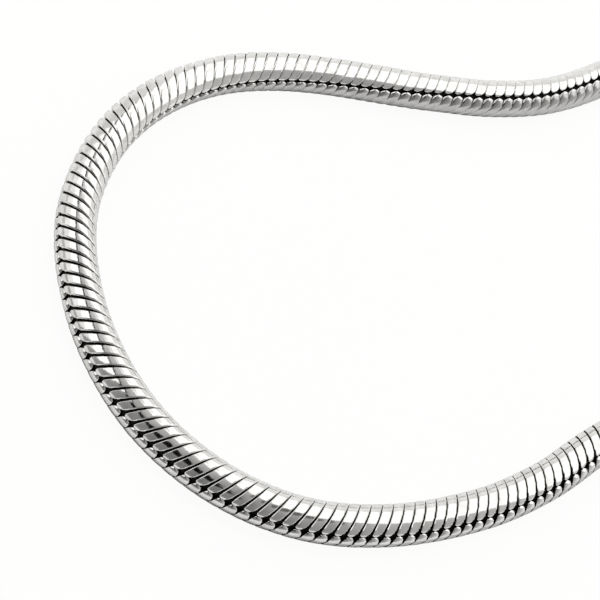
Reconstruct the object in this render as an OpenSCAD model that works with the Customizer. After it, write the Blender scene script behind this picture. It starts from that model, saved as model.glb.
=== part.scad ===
// Round snake chain, worn as a necklace and laid down in one whole loop on a flat surface.
// The chain's body is a smooth bent tube here. Its two halves meet at the front.
// Each back end sits in a cap with a soldered loop, and a ring joins each loop to the clasp.
// Units are mm, +Z is up, the surface is at z = 0 and the clasp lies at the back, towards +Y.

/* [Chain] */
// outer diameter of the chain
chain_d = 5.0; // [3:0.1:6]
// flat sides round the chain's body
chain_sides = 12; // [8:1:12]
// steps along each stretch of the route
steps_per_stretch = 2; // [2:1:3]

/* [Loop as it lies] */
// width of the loop, between the middle lines of its two sides
loop_width = 84.5; // [76:0.5:110]
// length of the loop, from the back straight's middle line to the front curve's
loop_length = 171.2; // [150:0.5:220]

/* [End caps] */
// wall of a cap round the chain
cap_wall = 0.35; // [0.25:0.05:0.8]
// play between the chain and the cap's bore, all round
cap_play = 0.1; // [0.05:0.05:0.2]
// length of chain inside a cap
cap_grip = 5.0; // [3:0.5:8]
// straight length of chain just past a cap's mouth
cap_lead = 1.0; // [0.5:0.5:3]
// thickness of a cap's closed end
cap_end = 1.0; // [0.6:0.1:2]
// edge break on a cap's closed end
cap_chamfer = 0.5; // [0.2:0.1:0.6]
// wire of the loop soldered to a cap
loop_wire = 1.0; // [0.8:0.1:1.4]
// radius of that loop, to the middle of its wire
loop_r = 1.6; // [1.4:0.1:2]

/* [Jump rings] */
// wire of a jump ring
ring_wire = 0.8; // [0.6:0.1:1]
// radius of a jump ring, to the middle of its wire
ring_r = 2.8; // [2.7:0.1:3.4]

/* [Clasp] */
// wire of the clasp's long link
clasp_wire = 1.8; // [1.4:0.1:2]
// end radius of the long link, to the middle of its wire
clasp_end_r = 2.4; // [2.2:0.1:3]
// straight length of the long link
clasp_straight = 5.0; // [3:0.5:8]
// wire of the clasp's eye
eye_wire = 1.0; // [0.8:0.1:1.2]
// radius of the eye, to the middle of its wire
eye_r = 1.5; // [1.4:0.1:1.8]

/* [Fits] */
// air left between two links that pass through each other
link_gap = 0.1; // [0.1:0.05:0.2]

/* [Hidden] */
$fn = 64;

chain_r = chain_d / 2;
cap_bore_r = chain_r + cap_play;
cap_r = cap_bore_r + cap_wall;
cap_z = cap_r;

// A jump ring stands on its edge. What passes through it keeps link_gap from its wire.
ring_z = ring_r + ring_wire / 2;
ring_reach = ring_r - ring_wire / 2 - link_gap;
// the clasp rests on the lowest stretch of both rings
clasp_z = ring_wire + 2 * link_gap + clasp_wire / 2;
loop_dx = sqrt(max(0, pow(ring_reach - loop_wire / 2, 2) - pow(cap_z - ring_z, 2)));
eye_dx = sqrt(max(0, pow(ring_reach - eye_wire / 2, 2) - pow(clasp_z - ring_z, 2)));
link_dx = sqrt(max(0, pow(ring_reach - clasp_wire / 2, 2) - pow(clasp_z - ring_z, 2)));
// how far the eye's middle stands from the long link's middle, with their wires soldered
eye_from_link = clasp_straight / 2 + clasp_end_r + clasp_wire / 2 - eye_wire / 4 + eye_r;

// places along X, from the chain's left end to its right end
ring_to_end = loop_dx + 2 * loop_r + cap_end;
between_rings = link_dx + clasp_straight / 2 + clasp_end_r + eye_from_link + eye_r + eye_dx;
half_span = ring_to_end + between_rings / 2;
ring_x = between_rings / 2;
link_x = -ring_x + link_dx + clasp_straight / 2 + clasp_end_r;

// straight run of chain at each end, in the cap and just past its mouth
straight_end = cap_grip + cap_lead;

// middle line of the clasp and of the chain's ends
back_y = 83.2;
// The route's curve as drawn: [x, y, share of the rise into the cap], from the right end to the left.
drawn = [
    [30.6, 80.6, 0.4],
    [39.0, 73.4, 0],
    [43.2, 62.4, 0],
    [43.6, 49.4, 0],
    [41.4, 35.8, 0],
    [37.7, 22.2, 0],
    [33.4, 8.8, 0],
    [28.4, -5.1, 0],
    [24.3, -19.4, 0],
    [22.8, -33.1, 0],
    [23.9, -45.3, 0],
    [23.3, -55.7, 0],
    [20.1, -67.5, 0],
    [14.5, -77.2, 0],
    [5.7, -84.4, 0],
    [-5.3, -88.0, 0],
    [-18.2, -87.2, 0],
    [-29.9, -81.8, 0],
    [-38.1, -71.6, 0],
    [-40.9, -59.3, 0],
    [-38.4, -46.3, 0],
    [-29.2, -28.4, 0],
    [-24.9, -18.9, 0],
    [-22.6, -9.2, 0],
    [-22.8, 3.6, 0],
    [-24.8, 17.2, 0],
    [-28.9, 30.0, 0],
    [-33.4, 42.6, 0],
    [-36.6, 55.6, 0],
    [-36.4, 68.4, 0],
    [-30.4, 79.0, 0.4]
];
ROUTE_X = 0;
ROUTE_Y = 1;
ROUTE_RISE = 2;
drawn_x = [for (p = drawn) p[ROUTE_X]];
drawn_y = [for (p = drawn) p[ROUTE_Y]];
wider = loop_width / (max(drawn_x) - min(drawn_x));
longer = loop_length / (back_y - min(drawn_y));
// the drawn curve at the loop's width and length, between the straight ends
route = concat(
    [[half_span + straight_end, back_y, 1]],
    [for (p = drawn)
        [wider * p[ROUTE_X], back_y + longer * (p[ROUTE_Y] - back_y), p[ROUTE_RISE]]],
    [[-half_span - straight_end, back_y, 1]]);
// the two halves of the chain meet at this row, the lowest of the front curve
meet_row = 16;

// one step of a smooth curve through the route's rows
function along(a, b, c, d, t) =
    0.5 * (2 * b + (c - a) * t + (2 * a - 5 * b + 4 * c - d) * t * t
    + (3 * b - a - 3 * c + d) * t * t * t);
// A ghost row beyond each end keeps the curve's end straight along X.
function ghost(first, second) =
    [2 * first[ROUTE_X] - second[ROUTE_X], second[ROUTE_Y], second[ROUTE_RISE]];
rows = concat([ghost(route[0], route[1])], route,
    [ghost(route[len(route) - 1], route[len(route) - 2])]);
function raised(p) =
    [p[ROUTE_X], p[ROUTE_Y], chain_r + (cap_z - chain_r) * min(1, max(0, p[ROUTE_RISE]))];
function stretch(first_row, last_row) = [
    for (i = [first_row + 1 : last_row])
        for (k = [0 : steps_per_stretch - 1])
            raised(along(rows[i - 1], rows[i], rows[i + 1], rows[i + 2], k / steps_per_stretch))
];
meet_point = raised(route[meet_row]);
right_line = concat([[half_span, back_y, cap_z]], stretch(0, meet_row), [meet_point]);
left_line = concat(stretch(meet_row, len(route) - 1),
    [raised(route[len(route) - 1]), [-half_span, back_y, cap_z]]);

// the whole part is moved so that the middle of its outline on the surface is at X = 0, Y = 0
line = concat(right_line, left_line);
line_x = [for (p = line) p[ROUTE_X]];
line_y = [for (p = line) p[ROUTE_Y]];
move_x = -(max(line_x) + min(line_x)) / 2;
move_y = -(back_y + cap_r + min(line_y) - chain_r) / 2;

// heading of the chain at a point of its line
meet_dir = raised(route[meet_row + 1]) - raised(route[meet_row - 1]);
function unit(v) = v / norm(v);
function heading(pts, i, first_dir, last_dir) =
    i == 0 ? unit(first_dir) : i == len(pts) - 1 ? unit(last_dir) : unit(pts[i + 1] - pts[i - 1]);
function side(t) = unit([-t[1], t[0], 0]);
function ring_points(p, t) = [
    for (k = [0 : chain_sides - 1])
        let (turn = 360 * k / chain_sides)
            p + chain_r * (cos(turn) * side(t) + sin(turn) * cross(t, side(t)))
];
function wall_faces(rings) = [
    for (i = [0 : rings - 2])
        for (k = [0 : chain_sides - 1])
            let (a = i * chain_sides + k, b = i * chain_sides + (k + 1) % chain_sides)
                each [[a, a + chain_sides, b], [b, a + chain_sides, b + chain_sides]]
];
function end_face(first, turned) =
    [for (k = [0 : chain_sides - 1]) first + (turned ? chain_sides - 1 - k : k)];

module tube(pts, first_dir, last_dir) {
    rings = len(pts);
    points = [
        for (i = [0 : rings - 1])
            each ring_points(pts[i], heading(pts, i, first_dir, last_dir))
    ];
    faces = concat(wall_faces(rings),
        [end_face(0, false), end_face((rings - 1) * chain_sides, true)]);
    translate([move_x, move_y, 0])
        polyhedron(points = points, faces = faces, convexity = 8);
}

module wire_ring(radius, wire) {
    rotate_extrude()
        translate([radius, 0])
            circle(d = wire, $fn = 32);
}

// A cap drawn with its closed end at X = 0 and its mouth towards +X, and the loop behind it.
module cap_with_loop() {
    rotate([0, 90, 0])
        rotate_extrude()
            polygon([
                [0, 0], [cap_r - cap_chamfer, 0], [cap_r, cap_chamfer],
                [cap_r, cap_end + cap_grip], [cap_bore_r, cap_end + cap_grip],
                [cap_bore_r, cap_end], [0, cap_end]
            ]);
    translate([-loop_r, 0, 0])
        wire_ring(loop_r, loop_wire);
}

module chain_right() {
    color([0.80, 0.80, 0.79])
        tube(right_line, [1, 0, 0], meet_dir);
}

module chain_left() {
    color([0.80, 0.80, 0.79])
        tube(left_line, meet_dir, [1, 0, 0]);
}

module end_cap_right() {
    color([0.76, 0.76, 0.75])
        translate([move_x + half_span - cap_end, move_y + back_y, cap_z])
            cap_with_loop();
}

module end_cap_left() {
    color([0.76, 0.76, 0.75])
        translate([move_x - half_span + cap_end, move_y + back_y, cap_z])
            rotate([0, 0, 180])
                cap_with_loop();
}

module jump_ring(x) {
    color([0.72, 0.72, 0.71])
        translate([move_x + x, move_y + back_y, ring_z])
            rotate([90, 0, 0])
                wire_ring(ring_r, ring_wire);
}

module jump_ring_right() {
    jump_ring(ring_x);
}

module jump_ring_left() {
    jump_ring(-ring_x);
}

module clasp() {
    color([0.74, 0.74, 0.73])
        translate([move_x + link_x, move_y + back_y, clasp_z]) {
            for (way = [-1, 1])
                translate([way * clasp_straight / 2, 0, 0])
                    rotate([0, 0, -90 * way])
                        rotate_extrude(angle = 180)
                            translate([clasp_end_r, 0])
                                circle(d = clasp_wire, $fn = 32);
            for (way = [-1, 1])
                translate([-clasp_straight / 2, way * clasp_end_r, 0])
                    rotate([0, 90, 0])
                        cylinder(h = clasp_straight, d = clasp_wire, $fn = 32);
            translate([eye_from_link, 0, 0])
                wire_ring(eye_r, eye_wire);
        }
}

chain_right();
chain_left();
end_cap_right();
end_cap_left();
jump_ring_right();
jump_ring_left();
clasp();
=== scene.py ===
# %% [markdown]
# # A round snake chain, plate by plate
#
# The imported model gives the chain as two smooth bent tubes that meet at the front. On the real
# chain that body is a row of small bent plates, hinged so closely that they look like a skin.
# This notebook lays those plates along the same line, gives every surface its finish, and sets
# up the photograph's camera and a soft light tent. The frame is loaded first, because every
# piece rides on it.

# %% Load the imported model
import bisect
import math
import random

import bmesh
import bpy
from mathutils import Matrix, Vector


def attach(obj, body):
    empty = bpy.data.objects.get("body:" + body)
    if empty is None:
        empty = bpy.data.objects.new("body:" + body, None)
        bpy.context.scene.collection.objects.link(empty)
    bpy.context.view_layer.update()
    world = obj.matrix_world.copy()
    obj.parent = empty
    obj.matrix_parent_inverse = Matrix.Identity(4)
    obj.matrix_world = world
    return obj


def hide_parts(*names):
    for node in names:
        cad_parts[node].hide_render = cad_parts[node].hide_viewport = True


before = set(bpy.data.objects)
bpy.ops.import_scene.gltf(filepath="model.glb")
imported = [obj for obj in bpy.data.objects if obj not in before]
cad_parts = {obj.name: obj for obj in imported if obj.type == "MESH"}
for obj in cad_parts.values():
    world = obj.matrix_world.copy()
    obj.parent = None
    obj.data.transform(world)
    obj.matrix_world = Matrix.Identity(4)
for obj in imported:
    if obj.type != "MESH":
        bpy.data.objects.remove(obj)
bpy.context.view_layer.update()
MM = 0.001
print("nodes", sorted(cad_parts))

# %% [markdown]
# ## The camera
#
# The photograph looks down on the front of the loop at a slant, with the picture turned, so that
# the chain sweeps in from the right, round the left and out again. The camera is placed first:
# it faces its target, and is then rolled about its own line of sight. A long lens from a little
# over 20 cm away gives the slight thinning of the far stretch. The near clip comes closer than
# Blender's usual one, because everything here is small.

# %% Camera
CAMERA_PLACE = Vector((43.02, -164.66, 177.11)) * MM
CAMERA_TARGET = Vector((-10.45, -59.716, 2.5)) * MM
CAMERA_LENS = 104.53
CAMERA_SENSOR = 36
CAMERA_ROLL = 36.41
NEAR_CLIP = 0.01

camera_data = bpy.data.cameras.new("camera")
camera_data.lens = CAMERA_LENS
camera_data.sensor_width = CAMERA_SENSOR
camera_data.clip_start = NEAR_CLIP
camera = bpy.data.objects.new("camera", camera_data)
bpy.context.scene.collection.objects.link(camera)
facing = (CAMERA_TARGET - CAMERA_PLACE).to_track_quat("-Z", "Y").to_matrix().to_4x4()
camera.matrix_world = (
    Matrix.Translation(CAMERA_PLACE) @ facing @ Matrix.Rotation(math.radians(CAMERA_ROLL), 4, "Z"))
bpy.context.scene.camera = camera
print("camera", round((CAMERA_TARGET - CAMERA_PLACE).length / MM, 1), "mm from its target")

# %% [markdown]
# ## The line of the chain
#
# The chain lies in one loop. Its middle line is a smooth curve through a few dozen points, the
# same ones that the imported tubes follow, and it rises a little at the back, where each end goes
# into its cap. A curve through points needs one more point beyond each end, and mirroring the
# second point across the first keeps the ends straight. The curve is walked in short steps,
# and each step keeps how far along the chain it is. In ROUTE the third number is how far the
# line has risen, from 0 on the table to 1 at the cap's height.

# %% Route of the middle line
CHAIN_R = 2.5
CAP_Z = 2.95
BACK_Y = 83.2
HALF_SPAN = 13.589857
STRAIGHT_END = 6.0
ROUTE_TO_PART = Vector((-1.45362775, 2.289814815, 0))
MEET_ROW = 16
STEPS = 24
ROUTE = [
    (HALF_SPAN + STRAIGHT_END, BACK_Y, 1), (30.6, 80.6, 0.4), (39, 73.4, 0), (43.2, 62.4, 0),
    (43.6, 49.4, 0), (41.4, 35.8, 0), (37.7, 22.2, 0), (33.4, 8.8, 0), (28.4, -5.1, 0),
    (24.3, -19.4, 0), (22.8, -33.1, 0), (23.9, -45.3, 0), (23.3, -55.7, 0), (20.1, -67.5, 0),
    (14.5, -77.2, 0), (5.7, -84.4, 0), (-5.3, -88, 0), (-18.2, -87.2, 0), (-29.9, -81.8, 0),
    (-38.1, -71.6, 0), (-40.9, -59.3, 0), (-38.4, -46.3, 0), (-29.2, -28.4, 0), (-24.9, -18.9, 0),
    (-22.6, -9.2, 0), (-22.8, 3.6, 0), (-24.8, 17.2, 0), (-28.9, 30, 0), (-33.4, 42.6, 0),
    (-36.6, 55.6, 0), (-36.4, 68.4, 0), (-30.4, 79, 0.4),
    (-HALF_SPAN - STRAIGHT_END, BACK_Y, 1)]


def curve_step(a, b, c, d, t):
    """The point at share t between b and c, on a smooth curve that also heeds a and d."""
    return 0.5 * (2 * b + (c - a) * t + (2 * a - 5 * b + 4 * c - d) * t * t
                  + (3 * b - a - 3 * c + d) * t ** 3)


def ghost(first, second):
    """A point beyond the curve's end that keeps the end straight."""
    return Vector((2 * first.x - second.x, second.y, second.z))


points = [Vector(row) for row in ROUTE]
points = [ghost(points[0], points[1])] + points + [ghost(points[-1], points[-2])]
line = [Vector((HALF_SPAN, BACK_Y, 1))]
for i in range(1, len(points) - 2):
    line += [curve_step(*points[i - 1:i + 3], k / STEPS) for k in range(STEPS)]
    if i == MEET_ROW:
        meet_index = len(line)
line += [points[-2], Vector((-HALF_SPAN, BACK_Y, 1))]
for p in line:
    p.z = CHAIN_R + (CAP_Z - CHAIN_R) * min(1, max(0, p.z))
    p += ROUTE_TO_PART
reach = [0.0]
for a, b in zip(line, line[1:]):
    reach.append(reach[-1] + (b - a).length)
CHAIN_LENGTH = reach[-1]
MEET = reach[meet_index]
print("chain", round(CHAIN_LENGTH, 2), "mm long, its halves meet at", round(MEET, 2), "mm")

# %% [markdown]
# ## Standing anywhere on the chain
#
# Every plate is placed by how far along the chain it is and how far round the chain it goes.
# So one helper gives, at any length along the line, the middle point, the heading, the side that
# faces the loop's inside, the way up, and how strongly the line bends there. Bending is taken
# over a few millimetres, as stiff plates can't follow anything sharper. These frames are worked
# out once, a short step apart, and blended between, which is much quicker than doing it for
# every point of every plate.

# %% Frames along the line
UP = Vector((0, 0, 1))
BEND_REACH = 4.0


def point_at(s):
    """The middle line's point at s mm along the chain."""
    i = min(max(bisect.bisect(reach, s), 1), len(line) - 1)
    return line[i - 1].lerp(line[i], (s - reach[i - 1]) / (reach[i] - reach[i - 1]))


def heading_at(s, span=1.0):
    """The way the line runs at s mm, taken over a span of it."""
    return (point_at(s + span) - point_at(s - span)).normalized()


def frame_at(s):
    """Middle point, heading, inner side, way up and bend towards the inner side, at s mm."""
    heading = heading_at(s)
    inner = heading.cross(UP).normalized()
    turned = heading_at(s + BEND_REACH) - heading_at(s - BEND_REACH)
    return point_at(s), heading, inner, inner.cross(heading), turned.dot(inner) / (2 * BEND_REACH)


# %% Frames kept and blended
FRAME_STEP = 0.25
frames = [frame_at(k * FRAME_STEP) for k in range(int(CHAIN_LENGTH / FRAME_STEP) + 1)]
# A blend needs a kept frame on either side, so the last one starts just before the end.
LAST_BLEND = len(frames) - 1.001


def stand_at(s):
    """The frame at s mm, blended from the two nearest kept ones."""
    k = min(max(s / FRAME_STEP, 0), LAST_BLEND)
    share = k - int(k)
    blended = [a.lerp(b, share) for a, b in zip(frames[int(k)][:4], frames[int(k) + 1][:4])]
    return blended + [frames[int(k)][4] * (1 - share) + frames[int(k) + 1][4] * share]


tightest = max(abs(f[4]) for f in frames)
print("tightest bend: radius", round(1 / tightest, 1), "mm")

# %% [markdown]
# ## How the chain is rolled
#
# The plates come in two rows, one on each side of the chain, and their tips meet in two seams.
# The chain is slightly twisted as it lies, so the seams wander round it. The table gives the
# first seam's angle from straight up towards the loop's inside, at lengths along the chain, as
# the photograph shows it. Outside the part that the photograph shows, the twist goes on evenly.

# %% Seam angle along the chain
SHOWN_FROM = 147.27
EVEN_TWIST = -0.65
SEAM_TURN = [
    (0, -34), (31.5, -56), (41, -62), (50, -66), (60, -68), (73, -71), (82, -75), (93, -86),
    (106, -90), (118, -94), (128, -101), (137, -110), (146, -125), (152, -133), (161, -138),
    (168, -145)]
SEAM_TURN = [(SHOWN_FROM + s, turn) for s, turn in SEAM_TURN]
first_s, first_turn = SEAM_TURN[0]
last_s, last_turn = SEAM_TURN[-1]
SEAM_TURN.insert(0, (0, first_turn - EVEN_TWIST * first_s))
SEAM_TURN.append((CHAIN_LENGTH, last_turn + EVEN_TWIST * (CHAIN_LENGTH - last_s)))


def from_table(table, s):
    """The table's value at s, blended from the rows on either side."""
    i = min(max(bisect.bisect(table, (s,)), 1), len(table) - 1)
    (s0, value0), (s1, value1) = table[i - 1], table[i]
    return value0 + (value1 - value0) * (s - s0) / (s1 - s0)


def seam_at(s):
    """The first seam's angle at s mm along the chain, in radians."""
    return math.radians(from_table(SEAM_TURN, s))


print("seam at the ends", [round(turn) for s, turn in (SEAM_TURN[0], SEAM_TURN[-1])], "degrees")

# %% [markdown]
# ## The shapes of the two plates
#
# A plate is a thin strip bent part of the way round the chain, with a fingernail tip at each end.
# The two rows differ, so each has a small table of its shape. X goes across a plate, Y along it
# from tip to tip, and heights are below the chain's round, all in mm.
#
# - across: the profile across the plate. The side towards the chain's start is rounded down,
#   where it slips under its neighbour, and the other side has a narrow bevelled rim.
# - tip: how the top drops towards a tip. beads scales this at the first and the last tip: small
#   values give the short round beads that line one seam.
# - corners: how wide and how long each corner of a tip is rounded, at the first and last tip.
# - crisp: columns of the profile that stay sharp, so the rim keeps a clean line of light.
# - sides: how strong the profile is, at shares of the plate's length. It fades where the plates
#   lie so flat that they read as one skin.
# - polished: how far in from each tip the bright silver reaches. Behind it the outer row takes a
#   rougher silver of darker colour, and that darker colour is painted shade. The inner row is
#   bright all over.

# %% Plate shapes
INNER_SHAPE = dict(
    across=[(-0.605, -0.16), (-0.54, -0.055), (-0.40, 0.0), (0.06, 0.018), (0.53, 0.0),
            (0.605, -0.06)],
    tip=[(0.0, 0.16), (0.05, 0.08), (0.16, 0.03), (0.38, 0.0), (0.8, 0.0)],
    beads=(1.0, 0.75),
    corners=([(0.62, 0.95), (0.55, 0.65)], [(0.55, 0.65), (0.62, 0.95)]),
    crisp=(2, 4),
    sides=[(0, 1), (0.45, 1), (0.8, 0.3), (1, 0.3)],
    polished=None)
OUTER_SHAPE = dict(
    across=[(-0.605, -0.28), (-0.50, -0.14), (-0.32, -0.045), (-0.05, 0.0), (0.40, -0.02),
            (0.605, -0.12)],
    tip=[(0.0, 0.38), (0.08, 0.25), (0.25, 0.13), (0.5, 0.05), (1.0, 0.0)],
    beads=(0.42, 1.0),
    corners=([(0.6, 2.0), (0.6, 1.7)], [(0.5, 1.05), (0.56, 1.25)]),
    crisp=(),
    sides=[(0, 3), (0.05, 1.2), (0.13, 0.22), (0.35, 0.22), (0.45, 0.6), (0.6, 0.6), (0.7, 0.22),
           (0.85, 0.22), (1, 1)],
    polished=(0.8, 0.85))
PLATE_WIDE = 1.21
WALL_DEPTH = 0.5
LEAST_WALL = 0.03
GAP_SLOT = 1
DULL_SHADE_SLOT = 2
print("plates", PLATE_WIDE, "mm wide with walls", WALL_DEPTH, "mm deep")

# %% [markdown]
# ## The top of a plate
#
# The plate is made flat and bent later. A grid is the quickest start, as its columns become the
# profile across the plate and its rows the steps along it. Each point keeps its column in a
# layer, because after the move its place no longer says which column it was in. Hundreds of
# plates are laid, so each is held to about six dozen faces on top, close together at the tips
# and far apart between them. The grid starts one unit square, from -0.5 to 0.5, so a point's
# place gives its column and its row.

# %% Rows and corners
def plate_rows(shape, length, middle_rows):
    """Each row's distance from the first tip, and how much lower its tip makes it."""
    first_tip, last_tip = ([(y * bead, dip * math.sqrt(bead)) for y, dip in shape["tip"]]
                           for bead in shape["beads"])
    start, end = first_tip[-1][0], length - last_tip[-1][0]
    middle = [(start + (end - start) * k / middle_rows, 0) for k in range(1, middle_rows)]
    return first_tip + middle + [(length - y, dip) for y, dip in reversed(last_tip)]


def nearest_tip(shape, length, y):
    """Whether the last tip is the nearer one, and how far it is, on that tip's own scale."""
    is_last = y > length / 2
    return is_last, min(y, length - y) / shape["beads"][is_last]


def corner_cut(corner, from_tip):
    """How far a rounded corner pulls the outline in, at a distance from the tip."""
    wide, long = corner
    share = max(0, 1 - from_tip / long)
    return wide * (1 - math.sqrt(1 - share * share))


# %% Top of the plate
def shape_top(bm, shape, length, rows):
    """A grid shaped as the plate's top, with its crisp columns marked and its back in the rougher
    silver with painted shade.
    """
    across = shape["across"]
    column = bm.verts.layers.int.new("column")
    bmesh.ops.create_grid(bm, x_segments=len(across) - 1, y_segments=len(rows) - 1, size=0.5)
    for v in bm.verts:
        v[column] = round((v.co.x + 0.5) * (len(across) - 1))
        x, drop = across[v[column]]
        y, dip = rows[round((v.co.y + 0.5) * (len(rows) - 1))]
        drop *= from_table(shape["sides"], y / length)
        is_last, from_tip = nearest_tip(shape, length, y)
        low_corner, high_corner = shape["corners"][is_last]
        low = corner_cut(low_corner, from_tip) - PLATE_WIDE / 2
        high = PLATE_WIDE / 2 - corner_cut(high_corner, from_tip)
        share = x / PLATE_WIDE + 0.5
        v.co = (low + (high - low) * share, y, max(drop - dip, LEAST_WALL - WALL_DEPTH))
    for edge in bm.edges:
        columns = {v[column] for v in edge.verts}
        edge.smooth = len(columns) > 1 or not columns & set(shape["crisp"])
    for face in bm.faces:
        is_last, from_tip = nearest_tip(shape, length, face.calc_center_median().y)
        # Behind the bright tips the outer row takes the rougher silver, whose darker colour is
        # painted shade.
        if shape["polished"] and from_tip > shape["polished"][is_last]:
            face.material_index = DULL_SHADE_SLOT


# %% [markdown]
# ## Walls and floor of a plate
#
# A real plate is sheet metal, and what shows beside its top is its edge, dark in the gap's shade.
# The grid's border is extruded down into walls, the two long sides are bridged underneath, and the
# ends filled, so each plate is a closed form. Walls and floor take the near-black gap colour,
# which is painted shade for the deep gaps. Bending the plate round the chain mirrors it, because
# along, round and out are a left-handed set of directions, so the flat plate is turned inside out
# first and comes out right.

# %% The whole flat plate
# An edge whose ends are nearer than this along the plate runs straight across it, at a tip.
LEVEL = 1e-6


def add_walls(bm):
    """Closes a plate's top with walls and a floor, both in the gaps' near-black painted shade."""
    border = [e for e in bm.edges if e.is_boundary]
    walls = bmesh.ops.extrude_edge_only(bm, edges=border)["geom"]
    for v in walls:
        if isinstance(v, bmesh.types.BMVert):
            v.co.z = -WALL_DEPTH
    for edge in border:
        edge.smooth = False
    dark = [f for f in walls if isinstance(f, bmesh.types.BMFace)]
    sides = [e for e in bm.edges
             if e.is_boundary and abs(e.verts[0].co.y - e.verts[1].co.y) > LEVEL]
    dark += bmesh.ops.bridge_loops(bm, edges=sides)["faces"]
    dark += bmesh.ops.holes_fill(bm, edges=[e for e in bm.edges if e.is_boundary])["faces"]
    # Walls and floor take the gap material, whose near-black colour is painted shade.
    for face in dark:
        face.material_index = GAP_SLOT


def flat_plate(name, shape, length, middle_rows):
    """A plate of that shape and length, lying flat and turned inside out."""
    bm = bmesh.new()
    shape_top(bm, shape, length, plate_rows(shape, length, middle_rows))
    add_walls(bm)
    for face in bm.faces:
        face.smooth = True
    bmesh.ops.recalc_face_normals(bm, faces=bm.faces)
    bmesh.ops.reverse_faces(bm, faces=bm.faces)
    mesh = bpy.data.meshes.new(name)
    bm.to_mesh(mesh)
    bm.free()
    print(name, len(mesh.polygons), "faces")
    return mesh


# %% [markdown]
# ## The two rows
#
# Going once round the chain from the first seam, an inner plate fills a little less than half, and
# then come the second seam and an outer plate. FIRST_SEAM and SECOND_SEAM are half a seam's width,
# as an angle. Besides its start angle and its flat plate, each row has a few habits of its own,
# seen in the photograph:
#
# - shift: how far its plates sit along the chain from the inner row's, in plates.
# - sway: how much its plates curve in an S instead of leaning evenly.
# - stiff: whether its plates keep their width in a bend, so that the gaps open on the outside.
# - least_gap: the gap that is always left, and waist: how much wider it is at mid-plate, in mm.

# %% The two rows of plates
TURN = 2 * math.pi
SEAM_TO_SEAM = math.radians(162)
FIRST_SEAM = math.radians(2.0)
SECOND_SEAM = math.radians(1.6)
INNER_TURN = SEAM_TO_SEAM - FIRST_SEAM - SECOND_SEAM
OUTER_TURN = TURN - SEAM_TO_SEAM - FIRST_SEAM - SECOND_SEAM
PLATE_ROWS = [
    dict(start=FIRST_SEAM, shift=0.0, sway=0.0, stiff=True, least_gap=0.02, waist=0.0,
         mesh=flat_plate("inner_plate", INNER_SHAPE, INNER_TURN * CHAIN_R, middle_rows=6)),
    dict(start=SEAM_TO_SEAM + SECOND_SEAM, shift=0.2, sway=0.75, stiff=False, least_gap=0.05,
         waist=0.12,
         mesh=flat_plate("outer_plate", OUTER_SHAPE, OUTER_TURN * CHAIN_R, middle_rows=7))]

# %% [markdown]
# ## Where the points of a plate go
#
# The plates lean: going once round the chain they shift by a little over five plates, which gives
# the diagonal lines of a snake chain. One helper answers, for a row of points at y along the flat
# plate, where it stands on the line, which way is round and out there, how strong the lean is,
# and how wide the plate may be. Across its width a plate stays straight, because it is stiff, so
# on the outside of a bend the gaps open and on the inside they nearly close. GAPS holds the inner
# row's gap along the chain, as measured in the photograph, with an even gap beyond it.

# %% Places along a plate
PLATE_SPACING = 1.46
PITCH = CHAIN_LENGTH / round(CHAIN_LENGTH / PLATE_SPACING)
LEAN = 1.232
WAIST_POWER = 4
EVEN_GAP = 0.12
GAPS = [(0, 0.12), (26, 0.13), (38, 0.16), (54, 0.20), (73, 0.27), (92, 0.28), (104, 0.18),
        (114, 0.10), (124, 0.06), (142, 0.045), (172, 0.06), (190, 0.12)]
GAPS = [(0, EVEN_GAP)] + [(SHOWN_FROM + s, gap) for s, gap in GAPS] + [(CHAIN_LENGTH, EVEN_GAP)]


def place_along(row, start, y, length):
    """Middle, heading, round and outward ways, lean and width of a plate at y along it."""
    phase = TURN * y / length
    eased = y - row["sway"] * length / TURN * math.sin(phase)
    lean = LEAN * (1 - row["sway"] * math.cos(phase)) / CHAIN_R
    s = start - LEAN * (row["start"] + eased / CHAIN_R)
    middle, heading, inner, up, bend = stand_at(s)
    turn = row["start"] + y / CHAIN_R + seam_at(s)
    out = math.cos(turn) * up + math.sin(turn) * inner
    round_way = math.cos(turn) * inner - math.sin(turn) * up
    least_gap = row["least_gap"] + row["waist"] * math.sin(phase / 2) ** WAIST_POWER
    wide = (1 - bend * CHAIN_R * math.sin(turn)) * PITCH - least_gap
    if row["stiff"]:
        wide = min(PITCH - from_table(GAPS, s), wide)
    return middle, heading, round_way, out, lean, wide


print("one plate every", round(PITCH, 3), "mm, and", round(LEAN * TURN / PITCH, 1), "round")

# %% [markdown]
# ## Bending a plate round the line
#
# Real plates never sit quite alike, so each gets a seeded tilt across it and a twist along it,
# too small to see but for its glints. The metal itself takes only a fifth of the twist, because a
# plate is long and its tips would stand out, and the rest only shows in how it shines. All plates
# are sunk by a hair, so that no tilted corner leaves the chain's round. The shading is carried
# over from the flat plate, corner by corner, and so stays even where bending changes the faces.

# %% Wrapping one plate
TILT = math.tan(math.radians(0.8))
TILT_ROOM = 0.018
TWIST_CUT = 5
SEED = 7
chance = random.Random(SEED)


def wrap(bm, row, link_s):
    """Adds one plate of a row at the link's place, and returns its corners' normals."""
    start = link_s + row["shift"] * PITCH
    length = max(v.co.y for v in row["mesh"].vertices)
    first = len(bm.verts)
    bm.from_mesh(row["mesh"])
    bm.verts.ensure_lookup_table()
    tilt, twist = chance.uniform(-TILT, TILT), chance.uniform(-TILT, TILT)
    places = {}
    ways = []
    for v in bm.verts[first:]:
        x, y, h = v.co
        if y not in places:
            places[y] = place_along(row, start, y, length)
        middle, heading, round_way, out, lean, wide = places[y]
        x *= wide / PLATE_WIDE
        lift = h + x * tilt + (y - length / 2) * twist / TWIST_CUT - TILT_ROOM
        v.co = (middle + x * heading + (CHAIN_R + lift) * out) * MM
        shine_way = out - tilt * heading - twist * round_way
        ways.append((heading + lean * round_way, round_way, shine_way))
    normals = []
    for corner, normal in zip(row["mesh"].loops, row["mesh"].corner_normals):
        x_way, y_way, up_way = ways[corner.vertex_index]
        n = normal.vector
        normals.append(-(n.x * x_way + n.y * y_way + n.z * up_way).normalized())
    return normals
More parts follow.
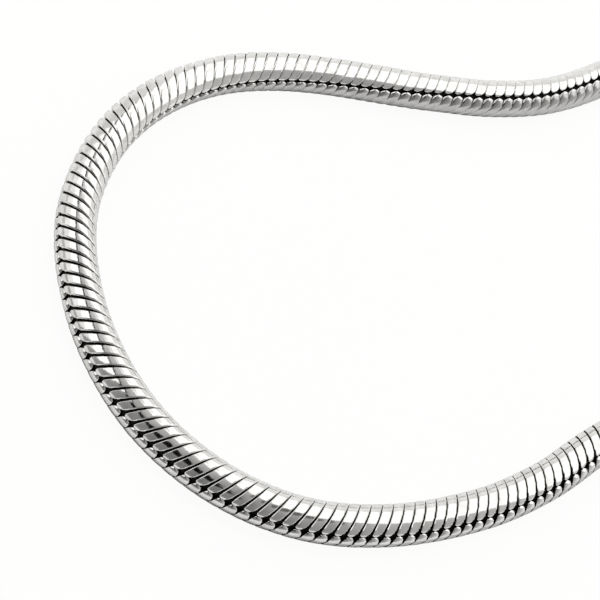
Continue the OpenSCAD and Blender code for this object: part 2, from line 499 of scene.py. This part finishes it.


# %% [markdown]
# ## The core behind the gaps
#
# The inside of the real chain can't be seen, but without anything there the floor would shine
# through the gaps. A plain tube just under the plates' floors closes the view, and its near-black
# colour is painted shade, the dark of the deep gaps. A ring is extruded again and again along the
# line, and each new ring is moved from the last station to the next, which also turns it with the
# bend.

# %% Core
CORE_R = 1.95
CORE_SIDES = 12
CORE_STEP = 2.0


def station(s):
    """A matrix that stands a flat ring across the chain at s mm."""
    middle, heading, inner, up, bend = stand_at(s)
    across = Matrix((inner, up, heading)).transposed().to_4x4()
    return Matrix.Translation(middle * MM) @ across @ Matrix.Scale(MM, 4)


def add_core(bm, start, end):
    """A closed tube inside the plates, from start to end along the chain, in the gaps' painted
    shade.
    """
    first = len(bm.faces)
    steps = round((end - start) / CORE_STEP)
    stations = [station(start + (end - start) * k / steps) for k in range(steps + 1)]
    ring = bmesh.ops.create_circle(
        bm, segments=CORE_SIDES, radius=CORE_R, cap_ends=False, matrix=stations[0])["verts"]
    rim = list({e for v in ring for e in v.link_edges})
    ends = list(rim)
    for before, after in zip(stations, stations[1:]):
        made = bmesh.ops.extrude_edge_only(bm, edges=rim)["geom"]
        ring = [v for v in made if isinstance(v, bmesh.types.BMVert)]
        rim = [e for e in made if isinstance(e, bmesh.types.BMEdge)]
        bmesh.ops.transform(bm, matrix=after @ before.inverted(), verts=ring)
    bmesh.ops.holes_fill(bm, edges=ends + rim)
    bm.faces.ensure_lookup_table()
    core = bm.faces[first:]
    # The core takes the gap material: its near-black colour is painted shade for the deep gaps.
    for face in core:
        face.material_index = GAP_SLOT
        face.smooth = len(face.verts) == 4
    bmesh.ops.recalc_face_normals(bm, faces=core)


# %% [markdown]
# ## Half of the chain as one piece
#
# A link is one plate of each row. All the links of one half are joined in one mesh with its piece
# of core, which takes the place of one packed tube, because hundreds of loose plates would be
# slow to handle. A link belongs to the half that the middle of its lean lies in. Plates whose
# lean would reach past an end of the chain are left out, and the caps cover where they stop. The
# count runs a few links past the end, because the lean carries each plate back towards the start.

# %% One half of the chain
END_ROOM = 0.05
SPARE_LINKS = 8


def row_fits(row, link_s):
    """Whether the plate's whole lean stays on the chain."""
    length = max(v.co.y for v in row["mesh"].vertices) / CHAIN_R
    high = link_s + row["shift"] * PITCH - LEAN * row["start"] + PLATE_WIDE / 2
    low = high - LEAN * length - PLATE_WIDE
    return low > END_ROOM and high < CHAIN_LENGTH - END_ROOM


def chain_half(name, node, start, end):
    """All the plates whose link sits between start and end, on a piece of core."""
    bm = bmesh.new()
    count = 0
    normals = []
    for link in range(round(CHAIN_LENGTH / PITCH) + SPARE_LINKS):
        link_s = (link + 0.5) * PITCH
        for row in PLATE_ROWS:
            if start <= link_s - LEAN * math.pi < end and row_fits(row, link_s):
                normals += wrap(bm, row, link_s)
                count += 1
    add_core(bm, start, end)
    mesh = bpy.data.meshes.new(name)
    bm.to_mesh(mesh)
    bm.free()
    normals += [Vector()] * (len(mesh.loops) - len(normals))
    mesh.normals_split_custom_set(normals)
    half = bpy.data.objects.new(name, mesh)
    bpy.context.scene.collection.objects.link(half)
    for material in (silver, gap_painted_shade, dull_shaded_silver):
        mesh.materials.append(material)
    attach(half, "root")
    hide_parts(node)
    mesh.calc_loop_triangles()
    print(name, count, "plates,", len(mesh.loop_triangles), "triangles")


# %% [markdown]
# ## Silver, and the painted shade of the gaps
#
# Polished silver is a metal with hardly any colour of its own, a little warm, so its look is
# almost all reflection. It could be one even metal, but then the plates would shine like new
# glass. Instead its tone changes faintly from plate to plate, and fine handling marks are a
# noise in its roughness and bump, far smaller than a plate. Both patterns read Object
# coordinates, so they stay fixed to the metal. Behind their tips the outer row's plates are a
# rougher silver and a darker one, and the darker colour is painted shade. The gaps are nearly
# black, which is painted shade too, with a faint random tone.

# %% Helpers for materials
def new_material(name):
    """A new material with its nodes, its links and its shader."""
    material = bpy.data.materials.new(name)
    material.use_nodes = True
    nodes = material.node_tree.nodes
    return material, nodes, material.node_tree.links, nodes["Principled BSDF"]


def noise_on_object(nodes, links, scale, detail):
    """A noise pattern that is fixed to the piece."""
    place = nodes.new("ShaderNodeTexCoord")
    noise = nodes.new("ShaderNodeTexNoise")
    noise.inputs["Scale"].default_value = scale
    noise.inputs["Detail"].default_value = detail
    links.new(place.outputs["Object"], noise.inputs["Vector"])
    return noise


def ramp_between(nodes, links, noise, spread, dark, light):
    """Turns a noise's values over a spread into colours from dark to light."""
    ramp = nodes.new("ShaderNodeValToRGB")
    for element, position, colour in zip(ramp.color_ramp.elements, spread, (dark, light)):
        element.position = position
        element.color = (*colour, 1)
    links.new(noise.outputs["Fac"], ramp.inputs["Fac"])
    return ramp


# %% Silver and tarnish
TONE_SCALE, TONE_DETAIL, TONE_SPREAD = 900, 2, (0.3, 0.7)
MARK_SCALE, MARK_DETAIL, MARK_SPREAD = 2600, 3, (0.35, 0.75)
MARK_STRENGTH = 0.4
# Scale and detail of the faint random tone in the gaps' near-black painted shade.
GAP_SHADE_SCALE, GAP_SHADE_DETAIL = 700, 3
MATT = 0.6
FAINT_SHEEN = 0.1


def polished(name, dark, light, smooth, dull, mark_height):
    """Polished metal with faint tone changes and fine handling marks."""
    material, nodes, links, shader = new_material(name)
    shader.inputs["Metallic"].default_value = 1
    clouds = noise_on_object(nodes, links, TONE_SCALE, TONE_DETAIL)
    tone = ramp_between(nodes, links, clouds, TONE_SPREAD, dark, light)
    links.new(tone.outputs["Color"], shader.inputs["Base Color"])
    marks = noise_on_object(nodes, links, MARK_SCALE, MARK_DETAIL)
    wear = ramp_between(nodes, links, marks, MARK_SPREAD, (smooth,) * 3, (dull,) * 3)
    links.new(wear.outputs["Color"], shader.inputs["Roughness"])
    bump = nodes.new("ShaderNodeBump")
    bump.inputs["Strength"].default_value = MARK_STRENGTH
    bump.inputs["Distance"].default_value = mark_height
    links.new(marks.outputs["Fac"], bump.inputs["Height"])
    links.new(bump.outputs["Normal"], shader.inputs["Normal"])
    return material


silver = polished("plate_silver", (0.70, 0.695, 0.68), (0.88, 0.875, 0.86), 0.07, 0.17, 1.6e-5)
# The outer row's silver: rougher, and darker in colour, and the darker colour is painted shade.
dull_shaded_silver = polished("dull_shaded_silver", (0.48, 0.477, 0.47), (0.59, 0.585, 0.575), 0.14, 0.26, 8e-6)
cap_silver = polished("end_cap_silver", (0.74, 0.735, 0.72), (0.83, 0.825, 0.81), 0.12, 0.22, 3e-6)
wire_silver = polished("wire_silver", (0.74, 0.735, 0.725), (0.82, 0.815, 0.80), 0.08, 0.2, 3e-6)
# The gaps' near-black colour is painted shade, on the plates' walls and floors and on the core.
gap_painted_shade, nodes, links, shader = new_material("gap_painted_shade")
gap_shade_tone = ramp_between(
    nodes, links, noise_on_object(nodes, links, GAP_SHADE_SCALE, GAP_SHADE_DETAIL), TONE_SPREAD,
    (0.002, 0.002, 0.002), (0.012, 0.011, 0.010))
links.new(gap_shade_tone.outputs["Color"], shader.inputs["Base Color"])
shader.inputs["Roughness"].default_value = MATT
shader.inputs["Specular IOR Level"].default_value = FAINT_SHEEN
print("materials", [m.name for m in (silver, dull_shaded_silver, cap_silver, wire_silver, gap_painted_shade)])

# %% The two halves, laid
chain_half("plates_right", "chain_right", 0.0, MEET)
chain_half("plates_left", "chain_left", MEET, CHAIN_LENGTH)

# %% [markdown]
# ## Caps, rings and clasp
#
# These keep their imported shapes, because they are turned and wire parts whose shape is right.
# Only their material slots are filled. The caps are a softer silver, as a turned cap is, and the
# wire parts are brighter.

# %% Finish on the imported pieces
for node, material in (("end_cap_right", cap_silver), ("end_cap_left", cap_silver),
                       ("jump_ring_right", wire_silver), ("jump_ring_left", wire_silver),
                       ("clasp", wire_silver)):
    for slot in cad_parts[node].material_slots:
        slot.material = material
    print(node, "is finished in", material.name)

# %% [markdown]
# ## Floor
#
# The chain lies on white paper that the lights wash out. To the camera the paper is nearly all
# glow, so that it stays an even white. To the chain's mirrors and to every other ray it is only
# paper, so that what the plates show of it comes from the light that falls there.

# %% Floor
FLOOR_REACH = 6.0
WASHED_OUT = 0.95
PAPER_SCALE, PAPER_DETAIL = 40, 2
DEAD_MATT = 0.9
floor_mesh = bpy.data.meshes.new("floor")
bm = bmesh.new()
bmesh.ops.create_grid(bm, x_segments=1, y_segments=1, size=FLOOR_REACH)
bm.to_mesh(floor_mesh)
bm.free()
floor = bpy.data.objects.new("floor", floor_mesh)
bpy.context.scene.collection.objects.link(floor)
paper, nodes, links, shader = new_material("white_paper")
paper_tone = ramp_between(
    nodes, links, noise_on_object(nodes, links, PAPER_SCALE, PAPER_DETAIL), TONE_SPREAD,
    (0.82, 0.82, 0.82), (0.86, 0.86, 0.86))
links.new(paper_tone.outputs["Color"], shader.inputs["Base Color"])
shader.inputs["Roughness"].default_value = DEAD_MATT
glow = nodes.new("ShaderNodeEmission")
glow.inputs["Color"].default_value = (1.0, 1.0, 0.995, 1)
ray = nodes.new("ShaderNodeLightPath")
washed = nodes.new("ShaderNodeMath")
washed.operation = "MULTIPLY"
washed.inputs[1].default_value = WASHED_OUT
links.new(ray.outputs["Is Camera Ray"], washed.inputs[0])
both = nodes.new("ShaderNodeMixShader")
links.new(washed.outputs["Value"], both.inputs["Fac"])
links.new(shader.outputs["BSDF"], both.inputs[1])
links.new(glow.outputs["Emission"], both.inputs[2])
links.new(both.outputs["Shader"], nodes["Material Output"].inputs["Surface"])
floor_mesh.materials.append(paper)
print("floor", 2 * FLOOR_REACH, "m across")

# %% [markdown]
# ## Cards over the chain
#
# The chain is a row of little mirrors, so what hangs over it decides where its plates turn white,
# grey or black. A few level cards stand for a light tent: a bright diffuser over the far side and
# one over the left, with a paler strip and a paler end, a dim card on the right, a black rim, and
# a black card for the dark of the camera. Their corners were set with the mirrors' own directions
# as a guide, until each stretch of the chain showed the photograph's light, grey and dark zones.
# The camera doesn't see them, and they cast no shadow, so they act through the reflections alone.
# Cards that overlap hang at slightly different heights, the darker one below.

# %% Helpers for the cards
SIDE = Vector((0.89101, 0.45399, 0))
AWAY = Vector((-0.45399, 0.89101, 0))
CENTRE = Vector((CAMERA_TARGET.x, CAMERA_TARGET.y, 0))
CARD_HEIGHT = 250 * MM
LOWER = 0.99 * CARD_HEIGHT
LOWEST = 0.98 * CARD_HEIGHT
TENT_WHITE = (1.0, 0.995, 0.985, 1)


def glowing(name, strength):
    """A white diffuser lit from behind."""
    material, nodes, links, shader = new_material(name)
    light = nodes.new("ShaderNodeEmission")
    light.inputs["Color"].default_value = TENT_WHITE
    light.inputs["Strength"].default_value = strength
    links.new(light.outputs["Emission"], nodes["Material Output"].inputs["Surface"])
    return material


def card(name, corners, material, height=CARD_HEIGHT):
    """A level card, with its corners in mm to the camera's right and away from it."""
    bm = bmesh.new()
    for side, away in corners:
        bm.verts.new(CENTRE + UP * height + (SIDE * side + AWAY * away) * MM)
    bmesh.ops.contextual_create(bm, geom=bm.verts)
    mesh = bpy.data.meshes.new(name)
    bm.to_mesh(mesh)
    bm.free()
    mesh.materials.append(material)
    made = bpy.data.objects.new(name, mesh)
    bpy.context.scene.collection.objects.link(made)
    made.visible_camera = False
    made.visible_shadow = False
    print(name, "with", len(corners), "corners")


# %% The cards, hung
CAMERA_OUTLINE = [
    (100, -250), (52, -290), (-45, -240), (-75, -235), (-95, -171), (-108, -128), (-86, -84),
    (-60, -108), (-22, -82), (11, -140), (36, -168), (72, -154)]
diffuser = glowing("diffuser", 1.36)
velvet, nodes, links, shader = new_material("black_velvet")
shader.inputs["Base Color"].default_value = (0.004, 0.004, 0.004, 1)
shader.inputs["Roughness"].default_value = DEAD_MATT
shader.inputs["Specular IOR Level"].default_value = FAINT_SHEEN
card("far_card", [(45, -5), (700, 218), (700, 480), (-300, 450), (-87, 133)], diffuser)
card("pale_card", [(-87, 133), (-40, 84), (-6, 96), (-8, 135), (-14, 166), (-60, 150)],
     glowing("pale_card", 0.9), LOWER)
card("left_card", [(-94, -92), (-185, 195), (-320, 212), (-320, -274), (-210, -205)], diffuser)
card("left_end_card", [(-320, -274), (-320, 212), (-1000, 300), (-1000, -700)],
     glowing("left_end_card", 1.0))
card("dim_card", [(132, -38), (88, 14), (50, -28), (78, -98)], glowing("dim_card", 0.15))
card("card_rim", [(-94, -92), (-76, -80), (-156, 210), (-185, 195)], velvet, LOWER)
card("camera_card", CAMERA_OUTLINE, velvet, LOWEST)

# %% [markdown]
# ## Top light and the room
#
# A broad soft panel high above lights the paper, and gives the chain its faint contact shadow. It
# is hidden from the mirrors, where the cards already give the reflections. The rest of the tent
# is the world: a smooth change from dark behind the camera to light on the far side, low down.

# %% Top light
PANEL_SIZE = 0.8
PANEL_POWER = 5.5
PANEL_PLACE = CENTRE + UP * 1.2 + AWAY * 0.3
panel_data = bpy.data.lights.new("top_panel", "AREA")
panel_data.shape = "SQUARE"
panel_data.size = PANEL_SIZE
panel_data.energy = PANEL_POWER
panel = bpy.data.objects.new("top_panel", panel_data)
bpy.context.scene.collection.objects.link(panel)
panel.matrix_world = (Matrix.Translation(PANEL_PLACE)
                      @ (CENTRE - PANEL_PLACE).to_track_quat("-Z", "Y").to_matrix().to_4x4())
panel.visible_camera = False
panel.visible_glossy = False
print("top panel", PANEL_SIZE, "m square")

# %% The room round the tent
BRIGHT_WAY = AWAY * 0.908 - UP * 0.419
ROOM_DARK = 0.22
ROOM_LIGHT = 1.05
world = bpy.data.worlds.new("tent_walls")
bpy.context.scene.world = world
world.use_nodes = True
nodes, links = world.node_tree.nodes, world.node_tree.links
looking = nodes.new("ShaderNodeTexCoord")
towards = nodes.new("ShaderNodeVectorMath")
towards.operation = "DOT_PRODUCT"
towards.inputs[1].default_value = BRIGHT_WAY
links.new(looking.outputs["Generated"], towards.inputs[0])
walls = nodes.new("ShaderNodeMapRange")
walls.inputs["From Min"].default_value = -1.0
walls.inputs["From Max"].default_value = 1.0
walls.inputs["To Min"].default_value = ROOM_DARK
walls.inputs["To Max"].default_value = ROOM_LIGHT
links.new(towards.outputs["Value"], walls.inputs["Value"])
links.new(walls.outputs["Result"], nodes["Background"].inputs["Strength"])
nodes["Background"].inputs["Color"].default_value = TENT_WHITE
bpy.context.scene.view_settings.view_transform = "Standard"
print("world", world.name, "from", ROOM_DARK, "to", ROOM_LIGHT)
